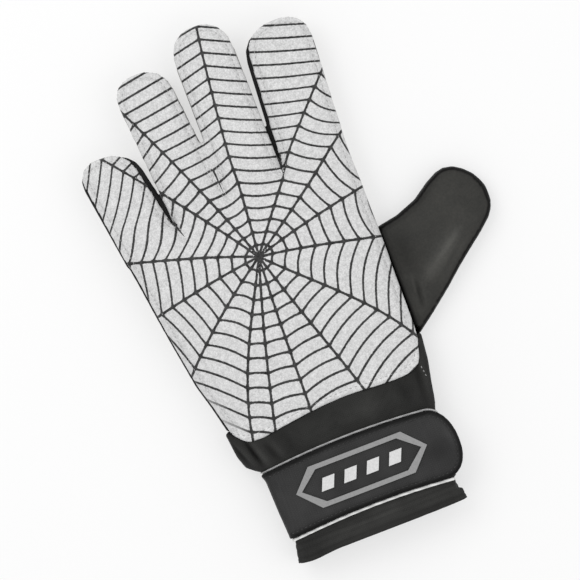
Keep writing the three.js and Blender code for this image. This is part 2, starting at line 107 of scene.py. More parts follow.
def mixColor(material, factor, first, second):
    node = material.node_tree.nodes.new("ShaderNodeMix")
    node.data_type = "RGBA"
    join(material, factor, node.inputs["Factor"])
    for socket, value in ((node.inputs[6], first), (node.inputs[7], second)):
        if isinstance(value, tuple):
            socket.default_value = (*value, 1)
        else:
            join(material, value, socket)
    return node.outputs[2]


def rangeNode(material, value, fromMin, fromMax, toMin=0.0, toMax=1.0, smooth=False):
    node = material.node_tree.nodes.new("ShaderNodeMapRange")
    node.interpolation_type = "SMOOTHSTEP" if smooth else "LINEAR"
    join(material, value, node.inputs["Value"])
    for index, number in enumerate((fromMin, fromMax, toMin, toMax)):
        node.inputs[index + 1].default_value = number
    return node.outputs["Result"]


def toned(material, color):
    # the color made darker or lighter by the tone attribute painted on each piece, mostly painted shade
    # and painted highlights
    tone = material.node_tree.nodes.new("ShaderNodeAttribute")
    tone.attribute_name = "tone"
    scaled = material.node_tree.nodes.new("ShaderNodeVectorMath")
    scaled.operation = "SCALE"
    join(material, color, scaled.inputs[0])
    join(material, tone.outputs["Fac"], scaled.inputs["Scale"])
    return scaled.outputs["Vector"]


def weaveHeight(material, coords, threadSize):
    # threads crossing at right angles, on faces turned any way
    split = material.node_tree.nodes.new("ShaderNodeSeparateXYZ")
    join(material, coords, split.inputs[0])
    waves = []
    for axis in range(3):
        turned = mathNode(material, "MULTIPLY", split.outputs[axis], 2 * math.pi / threadSize)
        waves.append(mathNode(material, "SINE", turned))
    pairs = [mathNode(material, "MULTIPLY", waves[a], waves[b]) for a, b in ((0, 1), (1, 2), (2, 0))]
    return mathNode(material, "ADD", mathNode(material, "ADD", pairs[0], pairs[1]), pairs[2])


# small helpers for meshes

def linkPiece(name, mesh):
    piece = bpy.data.objects.new(name, mesh)
    bpy.context.scene.collection.objects.link(piece)
    return piece


def mergedCopy(name, nodeNames):
    bm = bmesh.new()
    for nodeName in nodeNames:
        bm.from_mesh(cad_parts[nodeName].data)
    bmesh.ops.remove_doubles(bm, verts=bm.verts, dist=0.002 * mm)
    mesh = bpy.data.meshes.new(name)
    bm.to_mesh(mesh)
    bm.free()
    return linkPiece(name, mesh)


def settle(piece):
    # the modifiers become the piece's own mesh
    depsgraph = bpy.context.evaluated_depsgraph_get()
    settled = bpy.data.meshes.new_from_object(piece.evaluated_get(depsgraph))
    piece.modifiers.clear()
    rough = piece.data
    piece.data = settled
    settled.name = piece.name
    bpy.data.meshes.remove(rough)


def readPoints(mesh):
    points = np.empty(len(mesh.vertices) * 3)
    mesh.vertices.foreach_get("co", points)
    return points.reshape(-1, 3)


def readNormals(mesh):
    normals = np.empty(len(mesh.vertices) * 3, dtype=np.float32)
    mesh.vertex_normals.foreach_get("vector", normals)
    return normals.reshape(-1, 3).astype(float)


def writePoints(mesh, points):
    points[:, 2] = np.maximum(points[:, 2], 0.05 * mm)
    mesh.vertices.foreach_set("co", points.ravel())
    mesh.update()


def paintTone(mesh, tone):
    # the tone attribute holds the painted shade and painted highlights that toned() multiplies into the
    # colour
    attribute = mesh.attributes.new("tone", "FLOAT", "POINT")
    attribute.data.foreach_set("value", np.clip(tone, 0.1, 2).astype(np.float32))


def sideShade(normals, depth):
    # painted shade: darkens what turns away to the sides, where the edges of thick cloth fall into shade
    return 1 - depth * np.clip((0.8 - normals[:, 2]) / 0.6, 0, 1)


def foldField(points, folds):
    # the sum of long soft folds in plan, in metres: ridges above zero, creases below
    field = np.zeros(len(points))
    for start, end, halfWidth, height in folds:
        away, share = segmentDistance(points, np.array(start) * mm, np.array(end) * mm)
        fade = np.sin(np.pi * np.clip(share * 0.86 + 0.07, 0, 1))
        field += height * mm * fade * np.exp(-(away / (halfWidth * mm)) ** 2)
    return field


def smoothPiece(piece, rounds, axes="xyz", group=""):
    smooth = piece.modifiers.new("smooth", "SMOOTH")
    smooth.factor = 0.5
    smooth.iterations = rounds
    smooth.use_x = "x" in axes
    smooth.use_y = "y" in axes
    smooth.use_z = "z" in axes
    smooth.vertex_group = group


def softPiece(name, nodeNames, voxel, rounds, crownRounds=0):
    piece = mergedCopy(name, nodeNames)
    remesh = piece.modifiers.new("remesh", "REMESH")
    remesh.mode = "VOXEL"
    remesh.voxel_size = voxel
    smoothPiece(piece, rounds)
    settle(piece)
    if crownRounds:
        facing = readNormals(piece.data)[:, 2]
        crown = piece.vertex_groups.new(name="crown")
        for index in np.nonzero(np.abs(facing) > 0.45)[0]:
            crown.add([int(index)], min(1.0, (abs(facing[index]) - 0.45) * 4), "REPLACE")
        smoothPiece(piece, crownRounds, "z", "crown")
        settle(piece)
        piece.vertex_groups.clear()
    piece.data.materials.clear()
    piece.data.shade_smooth()
    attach(piece, "root")
    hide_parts(*nodeNames)
    return piece


def dress(piece, material):
    piece.data.materials.clear()
    piece.data.materials.append(material)


def noiseField(points, size, seed):
    offset = Vector((seed * 3.7, seed * 1.3, seed * 2.1))
    return np.array([noise.noise(Vector(point) / size + offset) for point in points])


def segmentDistance(points, start, end):
    # distance in plan from each point to a straight line, and the share of the way along it
    start, end = np.array(start), np.array(end)
    way = end - start
    share = np.clip(((points[:, :2] - start) @ way) / (way @ way), 0, 1)
    near = start + share[:, None] * way
    return np.linalg.norm(points[:, :2] - near, axis=1), share


def pathSamples(path, step):
    # evenly spaced points along a path in plan
    path = np.array(path)
    lengths = np.linalg.norm(np.diff(path, axis=0), axis=1)
    reach = np.concatenate([[0], np.cumsum(lengths)])
    stations = np.arange(0, reach[-1], step)
    return np.stack([np.interp(stations, reach, path[:, axis]) for axis in (0, 1)], axis=1)


def roundedPath(path, rounds=2):
    path = [np.array(point, dtype=float) for point in path]
    for _ in range(rounds):
        cut = [path[0]]
        for first, second in zip(path, path[1:]):
            cut.append(first * 0.75 + second * 0.25)
            cut.append(first * 0.25 + second * 0.75)
        cut.append(path[-1])
        path = cut
    return np.array(path)


def pathDistance(points, samples):
    tree = kdtree.KDTree(len(samples))
    for index, (x, y) in enumerate(samples):
        tree.insert((x, y, 0), index)
    tree.balance()
    return np.array([tree.find((x, y, 0))[2] for x, y in points[:, :2]])


def surfaceTree(piece):
    depsgraph = bpy.context.evaluated_depsgraph_get()
    return BVHTree.FromObject(piece, depsgraph)


def stitchRows(name, piece, paths, stitch, material):
    # one small thread for each stitch, laid on the surface that a straight look down meets
    tree = surfaceTree(piece)
    down = Vector((0, 0, -1))
    bm = bmesh.new()
    for path in paths:
        samples = pathSamples(path, stitch["pitch"])
        for here, ahead in zip(samples, samples[1:]):
            hits = []
            for share in (0.12, 0.12 + stitch["share"]):
                spot = here * (1 - share) + ahead * share
                hits.append(tree.ray_cast(Vector((*spot, 0)) - down * 0.1, down))
            if hits[0][0] is None or hits[1][0] is None:
                continue
            start, end = hits[0][0], hits[1][0]
            if (end - start).length > stitch["pitch"] * 1.6:
                continue
            normal = (hits[0][1] + hits[1][1]).normalized()
            along = (end - start).normalized()
            side = normal.cross(along)
            made = bmesh.ops.create_icosphere(bm, subdivisions=1, radius=1)["verts"]
            middle = (start + end) / 2 + normal * stitch["lift"]
            half = (end - start).length / 2
            for vert in made:
                shape = vert.co.copy()
                vert.co = (middle + along * shape.x * half + side * shape.y * stitch["thick"] / 2
                           + normal * shape.z * stitch["thick"] / 2)
    mesh = bpy.data.meshes.new(name)
    bm.to_mesh(mesh)
    bm.free()
    mesh.shade_smooth()
    rows = linkPiece(name, mesh)
    dress(rows, material)
    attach(rows, "root")


# camera, light and floor

view = {
    "center": (8.6 * mm, -18.5 * mm, 15 * mm),  # what the middle of the picture shows
    "width": 283.3 * mm,
    "lens": 200,
    "turn": -21,  # degrees that the glove leans left in the picture
    "sky": 0.8,
    "key": 3.0,
    "fill": 0.45,  # share of the key light
    "floor": (0.4, 0.4, 0.4),
    "floorGlow": 0.56,
}

camera = bpy.data.objects.new("camera", bpy.data.cameras.new("camera"))
camera.data.lens = view["lens"]
camera.data.sensor_width = 36
cameraHeight = view["width"] * view["lens"] / 36
camera.location = Vector(view["center"]) + Vector((0, 0, cameraHeight))
camera.rotation_euler = (0, 0, math.radians(view["turn"]))
bpy.context.scene.collection.objects.link(camera)
bpy.context.scene.camera = camera
bpy.context.scene.view_settings.view_transform = "Standard"

world = bpy.data.worlds.new("studio")
world.use_nodes = True
world.node_tree.nodes["Background"].inputs["Color"].default_value = (1, 1, 1, 1)
world.node_tree.nodes["Background"].inputs["Strength"].default_value = view["sky"]
bpy.context.scene.world = world

for lampName, spot, size, power in (
    ("key_light", (-0.35, 0.5, 0.9), 0.7, view["key"]),
    ("fill_light", (0.6, -0.3, 0.8), 0.9, view["key"] * view["fill"]),
):
    lamp = bpy.data.objects.new(lampName, bpy.data.lights.new(lampName, "AREA"))
    lamp.data.size = size
    lamp.data.energy = power
    lamp.location = spot
    lamp.rotation_euler = (-Vector(spot)).to_track_quat("-Z", "Y").to_euler()
    bpy.context.scene.collection.objects.link(lamp)

floorBm = bmesh.new()
bmesh.ops.create_grid(floorBm, x_segments=1, y_segments=1, size=4)
bmesh.ops.translate(floorBm, verts=floorBm.verts, vec=(0, 0, -0.05 * mm))
floorMesh = bpy.data.meshes.new("floor")
floorBm.to_mesh(floorMesh)
floorBm.free()
floor = linkPiece("floor", floorMesh)
floorMaterial, floorShader = startMaterial("floorPaper", view["floor"], 0.9, specular=0.1)
floorShader.inputs["Emission Color"].default_value = (1, 1, 1, 1)
floorShader.inputs["Emission Strength"].default_value = view["floorGlow"]
floorMesh.materials.append(floorMaterial)
print("camera, light and floor done")


# white padded back with its printed web

hand = {
    "breadth": 120 * mm,
    "length": 264 * mm,
    "inset": 3 * mm,  # topstitching inside the edge
    "tipRound": 2.3,
    # root, tip, breadth at the root and end, and tip length, as in the solid fingers
    "fingers": (
        (-0.385, 0.076, -0.462, 0.284, 0.247, 0.222, 0.42),
        (-0.148, 0.1, -0.206, 0.406, 0.242, 0.234, 0.48),
        (0.088, 0.1, 0.087, 0.45, 0.256, 0.25, 0.54),
        (0.358, 0.114, 0.4, 0.409, 0.276, 0.276, 0.42),
    ),
    "leftEdge": ((-0.362, -0.262), (-0.392, -0.222), (-0.42, -0.176), (-0.45, -0.092), (-0.474, -0.019)),
    "rightEdge": ((0.499, 0.1), (0.499, 0.074), (0.499, -0.019), (0.497, -0.092), (0.493, -0.176),
                  (0.487, -0.222)),
    "crotches": (((-0.27, 0.108),), ((-0.057, 0.215), (-0.05, 0.138), (-0.03, 0.136), (-0.034, 0.215)),
                 ((0.219, 0.131),)),
    "lowerEdge": ((-0.36, -0.277), (-0.3, -0.2955), (-0.184, -0.292), (-0.041, -0.2825), (0.122, -0.278),
                  (0.285, -0.282), (0.387, -0.282), (0.44, -0.274), (0.466, -0.25)),
}

web = {
    "hub": (0.35 * mm, 1.9 * mm),
    "rings": 19,
    "evenRing": 6,  # growth and sag are counted from this ring
    "halfWidth": 0.575 * mm,
    "thinner": 0.13,  # how much thinner the threads are on the fingers and near the hub
    "knot": 0.6,  # how much the threads thicken where they cross
    "knotWide": (1.3 * mm, 1.2 * mm),  # from a spoke and from a ring
    "blotch": 3.0 * mm,  # reach of the blot at the hub
    "hubReach": 12 * mm,
    "anglesAt": (15, 55, 95),  # mm from the hub
    # a row per spoke: its direction in degrees near the hub, further out and furthest out, the spacing
    # of the rings along it in mm and how the spacing grows outward, then how far the threads after it
    # sag and how the sag grows
    "spokes": (
        (16.2, 13.6, 13.0, 7.08, -0.0000, 0.016, 0.0066),
        (33.8, 35.1, 35.4, 7.07, 0.0043, 0.007, 0.0051),
        (53.0, 51.7, 50.7, 6.53, 0.0038, 0.031, -0.0007),
        (84.4, 84.9, 84.7, 6.28, 0.0022, 0.032, -0.0025),
        (109.8, 111.2, 112.5, 6.06, 0.0040, 0.011, -0.0008),
        (124.9, 126.1, 127.5, 6.17, -0.0004, 0.036, -0.0005),
        (159.3, 161.7, 162.5, 6.60, -0.0089, 0.013, -0.0005),
        (187.0, 189.6, 191.0, 7.02, -0.0093, 0.018, 0.0001),
        (214.9, 218.5, 222.0, 7.19, -0.0097, 0.032, -0.0048),
        (242.1, 243.3, 248.0, 7.13, -0.0000, 0.007, 0.0004),
        (252.2, 253.5, 254.7, 7.03, 0.0045, 0.010, 0.0012),
        (266.1, 267.4, 267.7, 6.91, 0.0037, 0.015, 0.0015),
        (286.0, 287.4, 287.2, 6.82, 0.0041, 0.024, 0.0011),
        (315.0, 315.4, 311.0, 7.02, -0.0010, 0.052, -0.0000),
        (351.4, 348.9, 348.9, 7.07, 0.0028, 0.024, 0.0087),
    ),
    # the print moved a little where each finger was spread: the finger's root x and y, the y where the
    # move starts and where it is whole, the shift in x and y in mm, and the turn in degrees
    "moves": (
        (-48, 26, 20, 40, -3.1, 3.4, -0.4),
        (-22, 40, 30, 54, -0.6, 1.2, 0.1),
        (10, 44, 34, 58, -0.9, 0.8, -0.8),
        (40, 34, 27, 48, -1.3, 1.1, -2.5),
    ),
    "rubbed": ((-51 * mm, -60 * mm), (-44 * mm, -76 * mm)),
    "rubbedWide": 6 * mm,
    # the gaps between the fingers: x of each at this y, and its lean
    "gapsAt": 36 * mm,
    "gaps": ((-32.5 * mm, -0.21), (-5.0 * mm, -0.04), (26.0 * mm, 0.04)),
}

foam = {
    "voxel": 0.9 * mm,
    "rounds": 7,
    "crownRounds": 50,
    "swell": 0.45 * mm,
    "ripple": 0.35 * mm,
    "rippleSize": 24 * mm,
    "printAbove": 13.5 * mm,
    "seamDepth": 0.55 * mm,
    "seamWide": 0.9 * mm,
    "seamShade": (0.07, 1.2 * mm),  # painted shade in the seam grooves: how much darker, and how wide
    "lowerEdgeHighlight": (0.16, 1.0 * mm),  # painted highlight along the lower edge: how much paler, and how wide
    "white": (0.82, 0.82, 0.82),
    "shade": (0.52, 0.52, 0.52),
    "inkAndGapShade": (0.01, 0.01, 0.01),
    "stitch": {"pitch": 2.6 * mm, "share": 0.62, "thick": 0.34 * mm, "lift": 0.02 * mm},
    # creases between the fingers: start, end, width and depth in mm
    "creases": (
        ((-32.8, 34.0), (-31.0, 20.0), 1.1, 1.7),
        ((-6.0, 66.0), (-4.8, 36.0), 1.0, 1.1),
        ((26.6, 40.0), (26.0, 32.0), 1.1, 1.2),
    ),
    # painted shade in the closed ends of the gaps between fingers: start, end, half width in mm
    "gapShade": (((-33.8, 35.0), (-30.2, 24.5), 0.9), ((-5.4, 49.5), (-4.7, 37.0), 0.5),
                 ((27.0, 45.0), (25.8, 36.5), 1.0)),
}


def fingerLine(finger, inset):
    # left side, tip and right side of one finger in plan, root to root
    rootX, rootY, tipX, tipY, rootWide, endWide, tipShare = finger
    breadth, length = hand["breadth"], hand["length"]
    root = np.array([rootX * breadth, rootY * length])
    tip = np.array([tipX * breadth, tipY * length])
    tipLength = endWide * breadth * tipShare
    shoulder = tip[1] - tipLength

    def halfAt(y):
        share = (y - root[1]) / (tip[1] - root[1])
        middle = root[0] + (tip[0] - root[0]) * share
        return middle, (rootWide + (endWide - rootWide) * share) * breadth / 2 - inset

    left, right = [], []
    for y in np.linspace(root[1] + 14 * mm, shoulder, 6):
        middle, half = halfAt(y)
        left.append((middle - half, y))
        right.append((middle + half, y))
    arc = []
    middle, half = halfAt(shoulder)
    for turn in np.linspace(0, math.pi, 13)[1:-1]:
        across = math.copysign(abs(math.cos(turn)) ** (2 / hand["tipRound"]), -math.cos(turn))
        up = math.sin(turn) ** (2 / hand["tipRound"])
        middle = halfAt(shoulder + up * tipLength)[0]
        arc.append((middle + across * half, shoulder + up * (tipLength - inset)))
    return left + arc + right[::-1]


def backOutline(inset):
    # the whole edge of the white back in plan, from the wrist's left corner round to its right one
    breadth, length = hand["breadth"], hand["length"]
    line = [(x * breadth + inset, y * length) for x, y in hand["leftEdge"]]
    for index, finger in enumerate(hand["fingers"]):
        line += fingerLine(finger, inset)
        if index < 3:
            line += [(x * breadth, y * length - inset * 0.6) for x, y in hand["crotches"][index]]
    line += [(x * breadth - inset, y * length) for x, y in hand["rightEdge"]]
    return roundedPath(line, 2)


def addWebAttribute(mesh):
    # each face corner holds its distance to the nearest spoke and to the nearest ring thread, in
    # half thicknesses of the thread, and how strongly it is printed; near the closed ends of the finger
    # gaps the first holds the distance to a line of painted shade instead
    table = np.array(web["spokes"])
    bends = np.polyfit(web["anglesAt"], table[:, :3].T, 2)
    steps, growths, sags, sagGrowths = table[:, 3] * mm, table[:, 4], table[:, 5], table[:, 6]
    count = len(table)

    def spokeAngle(spoke, reach):
        far = reach / mm
        return bends[0][spoke] * far * far + bends[1][spoke] * far + bends[2][spoke]

    points = readPoints(mesh)
    facing = readNormals(mesh)[:, 2]
    loops = np.empty(len(mesh.loops), dtype=np.int32)
    mesh.loops.foreach_get("vertex_index", loops)
    starts = np.empty(len(mesh.polygons), dtype=np.int32)
    totals = np.empty(len(mesh.polygons), dtype=np.int32)
    mesh.polygons.foreach_get("loop_start", starts)
    mesh.polygons.foreach_get("loop_total", totals)
    faceOfLoop = np.repeat(np.arange(len(starts)), totals)

    # each point goes back to where it was before its finger was spread
    flat = points[loops][:, :2]
    faceMiddles = (np.add.reduceat(flat, starts) / totals[:, None])[faceOfLoop]
    finger = np.zeros(len(flat), dtype=np.int32)
    for gapX, lean in web["gaps"]:
        finger += faceMiddles[:, 0] > gapX + lean * (faceMiddles[:, 1] - web["gapsAt"])
    moves = np.array(web["moves"])[finger]
    share = np.clip((flat[:, 1] / mm - moves[:, 2]) / (moves[:, 3] - moves[:, 2]), 0, 1)
    share = share * share * (3 - 2 * share)
    turn = np.radians(moves[:, 6])
    fromRoot = flat - moves[:, :2] * mm
    shift = moves[:, 4:6] * mm + np.stack([-fromRoot[:, 1] * turn, fromRoot[:, 0] * turn], axis=1)
    fromHub = flat - shift * share[:, None] - np.array(web["hub"])

    # all corners of a face use the sector that its middle is in
    middles = np.add.reduceat(fromHub, starts) / totals[:, None]
    middleTurn = np.degrees(np.arctan2(middles[:, 1], middles[:, 0]))
    middleReach = np.linalg.norm(middles, axis=1)
    allAngles = np.stack([spokeAngle(spoke, middleReach) for spoke in range(count)], axis=1)
    sector = np.argmin((middleTurn[:, None] - allAngles) % 360, axis=1)[faceOfLoop]
    after = (sector + 1) % count

    reach = np.maximum(np.linalg.norm(fromHub, axis=1), 0.01 * mm)
    first = spokeAngle(sector, reach)
    span = np.radians((spokeAngle(after, reach) - first) % 360)
    swing = (np.degrees(np.arctan2(fromHub[:, 1], fromHub[:, 0])) - first + 180) % 360 - 180
    swing = np.radians(swing)
    nearFirst = (np.add.reduceat(swing / span, starts) / totals < 0.5)[faceOfLoop]
    spokeGap = reach * np.sin(np.where(nearFirst, swing, swing - span))

    # a thread between two spokes is a straight line that sags a little toward the hub
    swing = np.clip(swing, -0.1 * span, 1.1 * span)
    bow = 1 - (2 * swing / span - 1) ** 2
    thread = steps[sector] * steps[after] * np.sin(span) / (
        steps[sector] * np.sin(swing) + steps[after] * np.sin(span - swing))
    growth = growths[sector] + (growths[after] - growths[sector]) * swing / span
    number = reach / thread
    for _ in range(8):
        beyond = number - web["evenRing"]
        sag = sags[sector] + sagGrowths[sector] * beyond
        number = reach / (thread * (1 + growth * beyond) * (1 - sag * bow))
        number = np.clip(number, 0, web["rings"] + 5)
    nearest = np.clip(np.round(np.add.reduceat(number, starts) / totals), 1, web["rings"])[faceOfLoop]
    ringGap = (number - nearest) * thread

    atSpoke = np.exp(-(spokeGap / web["knotWide"][0]) ** 2)
    atRing = np.exp(-(ringGap / web["knotWide"][1]) ** 2)
    atHub = np.exp(-(reach / web["blotch"]) ** 2)
    nearHub = np.exp(-(reach / web["hubReach"]) ** 2)
    threadHalf = web["halfWidth"] * (1 - web["thinner"] * np.maximum(share, nearHub))
    ringHalf = threadHalf * (1 + web["knot"] * atSpoke)
    spokeHalf = threadHalf * (1.08 + web["knot"] * atRing + atHub)
    outside = (np.add.reduceat(points[loops][:, 2], starts) / totals > foam["printAbove"])[faceOfLoop]
    strength = np.clip(facing[loops] * 3 + 0.4, 0, 1) * outside
    # the print is rubbed pale along the lower left edge
    rubbed, _ = segmentDistance(points, *(np.array(end) for end in web["rubbed"]))
    strength *= 1 - 0.6 * np.clip(1.6 - rubbed[loops] / web["rubbedWide"], 0, 1)
    across = spokeGap / spokeHalf

    # painted shade in the closed ends of the gaps between fingers is drawn in the same way as the
    # threads
    for startPoint, endPoint, halfWidth in foam["gapShade"]:
        away = flat - np.array(startPoint) * mm
        along = (np.array(endPoint) - np.array(startPoint)) * mm
        share = away @ along / (along @ along)
        aside = (away[:, 0] * along[1] - away[:, 1] * along[0]) / np.linalg.norm(along)
        closed = aside / (halfWidth * mm * np.clip(1.15 - share, 0.12, 1.15))
        closeBy = (np.abs(np.add.reduceat(closed, starts)) / totals < 2.5) & (
            np.abs(np.add.reduceat(share, starts) / totals - 0.5) < 0.55)
        across = np.where(closeBy[faceOfLoop], closed, across)
    values = np.stack([across, ringGap / ringHalf, strength], axis=1)
    attribute = mesh.attributes.new("webPrintAndGapShade", "FLOAT_VECTOR", "CORNER")
    attribute.data.foreach_set("vector", values.astype(np.float32).ravel())


def paddedWhite():
    material, shader = startMaterial("paddedWhite", foam["white"], 0.62, specular=0.15)
    coords = objectCoords(material)
    threads = material.node_tree.nodes.new("ShaderNodeAttribute")
    threads.attribute_name = "webPrintAndGapShade"
    split = material.node_tree.nodes.new("ShaderNodeSeparateXYZ")
    join(material, threads.outputs["Vector"], split.inputs[0])
    wobble = rangeNode(material, noiseFactor(material, coords, 1.1 * mm, 2), 0.3, 0.7, -0.18, 0.18)
    inks = []
    for axis in (0, 1):
        gap = mathNode(material, "ABSOLUTE", split.outputs[axis])
        gap = mathNode(material, "ADD", gap, wobble)
        inks.append(rangeNode(material, gap, 0.8, 1.2, 1, 0, smooth=True))
    # the printed web and the painted shade at the ends of the finger gaps, both in the ink colour
    inkAndGapShade = mathNode(material, "MULTIPLY", mathNode(material, "MAXIMUM", *inks), split.outputs[2])
    grain = grainFactor(material, coords, 0.8 * mm)
    mottle = noiseFactor(material, coords, 2.0 * mm, 6, 0.75)
    tone = mathNode(material, "ADD", rangeNode(material, grain, 0.1, 0.75, 0, 0.55),
                    rangeNode(material, mottle, 0.36, 0.64, 0, 0.55), clamp=True)
    ground = mixColor(material, tone, foam["white"], foam["shade"])
    worn = rangeNode(material, noiseFactor(material, coords, 1.6 * mm, 4), 0.3, 0.75, 1.0, 0.9)
    printed = mixColor(material, mathNode(material, "MULTIPLY", inkAndGapShade, worn), ground, foam["inkAndGapShade"])
    join(material, toned(material, printed), shader.inputs["Base Color"])
    join(material, rangeNode(material, inkAndGapShade, 0, 1, 0.66, 0.48), shader.inputs["Roughness"])
    pebbled = bumpFrom(material, grain, 0.5, 0.12 * mm)
    pressed = bumpFrom(material, mathNode(material, "MULTIPLY", inkAndGapShade, -1), 0.45, 0.18 * mm, pebbled)
    join(material, pressed, shader.inputs["Normal"])
    return material


def makeWhiteBack():
    piece = softPiece("white_back", ["back_panel"], foam["voxel"], foam["rounds"], foam["crownRounds"])
    points = readPoints(piece.data)
    normals = readNormals(piece.data)
    outer = np.clip(normals[:, 2] * 2 + 0.6, 0, 1)
    broad = noiseField(points, foam["rippleSize"], 1) * foam["ripple"]
    points += normals * (foam["swell"] + broad * outer)[:, None]
    for start, end, width, depth in foam["creases"]:
        away, share = segmentDistance(points, np.array(start) * mm, np.array(end) * mm)
        fade = np.clip(1.25 - share, 0, 1)
        points[:, 2] -= depth * mm * fade * np.exp(-(away / (width * mm)) ** 2) * outer
    lowerSeam = pathSamples(lowerPath, 0.4 * mm)
    outerSeam = pathSamples(backOutline(hand["inset"]), 0.4 * mm)
    lowerAway = pathDistance(points, lowerSeam)
    away = pathDistance(points, np.concatenate([outerSeam, lowerSeam]))
    points[:, 2] -= foam["seamDepth"] * np.exp(-(away / foam["seamWide"]) ** 2) * outer
    writePoints(piece.data, points)
    darker, darkWide = foam["seamShade"]
    highlightGain, highlightWide = foam["lowerEdgeHighlight"]
    # painted shade along the seam grooves and a painted highlight along the lower edge
    paintTone(piece.data, 1 - darker * np.exp(-(away / darkWide) ** 2)
              + highlightGain * np.exp(-(lowerAway / highlightWide) ** 2))
    addWebAttribute(piece.data)
    dress(piece, paddedWhite())
    return piece


def threadMaterial(name, color):
    material, shader = startMaterial(name, color, 0.6, sheen=0.2)
    coords = objectCoords(material)
    twist = weaveHeight(material, coords, 0.3 * mm)
    join(material, bumpFrom(material, twist, 0.4, 0.04 * mm), shader.inputs["Normal"])
    return material


lowerPath = roundedPath([(x * hand["breadth"], y * hand["length"]) for x, y in hand["lowerEdge"]])
whiteBack = makeWhiteBack()
paleThread = threadMaterial("paleThread", (0.36, 0.36, 0.36))
darkThread = threadMaterial("darkThread", (0.024, 0.024, 0.024))
stitchRows("back_topstitching", whiteBack, [backOutline(hand["inset"]), lowerPath], foam["stitch"],
           paleThread)
print("white back done")


# black side strips and fourchettes

strip = {"voxel": 0.8 * mm, "rounds": 5, "swell": 0.25 * mm, "black": (0.009, 0.009, 0.009),
         "lit": (0.022, 0.022, 0.022), "knit": 0.9 * mm}


def knitMaterial(name, dark, lit, threadSize, roughness, sheen, depth):
    material, shader = startMaterial(name, dark, roughness, sheen=sheen, specular=0.12)
    coords = objectCoords(material)
    knit = weaveHeight(material, coords, threadSize)
    patch = noiseFactor(material, coords, 14 * mm, 4)
    fluff = noiseFactor(material, coords, 0.7 * mm, 4, 0.7)
    tone = mathNode(material, "ADD", rangeNode(material, knit, -1, 1.5, 0, 0.5),
                    rangeNode(material, patch, 0.35, 0.7, 0, 0.5), clamp=True)
    join(material, toned(material, mixColor(material, tone, dark, lit)), shader.inputs["Base Color"])
    first = bumpFrom(material, fluff, 0.35, 0.1 * mm)
    join(material, bumpFrom(material, knit, 0.6, depth, first), shader.inputs["Normal"])
    return material


stripKnit = knitMaterial("stripKnit", strip["black"], strip["lit"], strip["knit"], 0.8, 0.05, 0.08 * mm)
for stripNode in ("little_side_strip", "ring_little_fourchette", "middle_ring_fourchette",
                  "index_middle_fourchette", "index_side_strip"):
    stripPiece = softPiece("soft_" + stripNode, [stripNode], strip["voxel"], strip["rounds"])
    stripPoints = readPoints(stripPiece.data)
    stripPoints += readNormals(stripPiece.data) * strip["swell"]
    writePoints(stripPiece.data, stripPoints)
    paintTone(stripPiece.data, np.ones(len(stripPoints)))
    dress(stripPiece, stripKnit)
print("side strips done")


# palm of foam latex

palm = {"voxel": 1.1 * mm, "rounds": 4, "swell": 0.3 * mm,
        "pale": (0.56, 0.55, 0.52), "dull": (0.42, 0.41, 0.385)}


def latexFoam():
    material, shader = startMaterial("latexFoam", palm["pale"], 0.88, specular=0.25)
    coords = objectCoords(material)
    pores = grainFactor(material, coords, 1.1 * mm)
    scuff = noiseFactor(material, coords, 16 * mm, 6, 0.65)
    tone = rangeNode(material, scuff, 0.38, 0.68)
    join(material, mixColor(material, tone, palm["pale"], palm["dull"]), shader.inputs["Base Color"])
    join(material, bumpFrom(material, pores, 0.5, 0.15 * mm), shader.inputs["Normal"])
    return material


palmPiece = softPiece("foam_palm", ["palm_panel"], palm["voxel"], palm["rounds"])
palmPoints = readPoints(palmPiece.data)
palmPoints += readNormals(palmPiece.data) * palm["swell"]
writePoints(palmPiece.data, palmPoints)
dress(palmPiece, latexFoam())
print("palm done")


# thumb in two halves with a rolled seam

thumb = {
    "voxel": 0.8 * mm, "rounds": 6, "crownRounds": 30, "swell": 0.35 * mm,
    "dark": (0.032, 0.032, 0.03), "lit": (0.05, 0.049, 0.045),
    "middle": (88 * mm, -18 * mm), "rootEdge": 59.8 * mm,
    "rim": 1.3 * mm, "rimShadeTone": 0.06, "sideShade": 0.5, "seamLevel": 7.6 * mm,
    # the rolled seam and the groove inside it: height, place and width
    "roll": (0.35 * mm, 0.7 * mm, 0.6 * mm), "groove": (-0.3 * mm, 2.0 * mm, 0.5 * mm),
    # long soft folds: start, end, half width, height in mm
    "folds": (
        ((72, -39), (98, -18), 3.4, 1.0),
        ((80, -41), (104, -19), 2.2, -0.7),
        ((60, -32), (72, -6), 9.0, -0.5),
        ((66.8, -32), (65.2, -44), 0.8, 0.6),
        ((67.9, -36), (66.2, -51), 0.8, -0.8),
        ((69.8, -37), (69.2, -47), 0.9, 0.45),
        ((71.8, -38), (72.0, -45), 0.9, -0.4),
    ),
    # painted highlights and painted shade on the hide: start, end, half width in mm, change of tone
    "strokes": (
        ((72, -38), (80, -31.5), 2.6, 0.42),
        ((80, -31.5), (97, -19.5), 1.3, 0.6),
        ((76, -36), (99, -18), 5.2, 0.62),
        ((78, -40), (103, -20), 1.3, -0.2),
        ((82, -41), (105, -17), 1.6, 0.12),
        ((67, -8), (67, -34), 6.5, -0.38),
        ((70, -6), (92, 8), 4.5, -0.12),
        ((90, -7), (103, -5), 7.0, 0.12),
        ((66.8, -32), (65.2, -42), 0.7, 0.3),
        ((67.8, -36), (66.0, -50), 0.8, -0.45),
        ((69.6, -38), (68.8, -49), 0.7, 0.2),
    ),
}


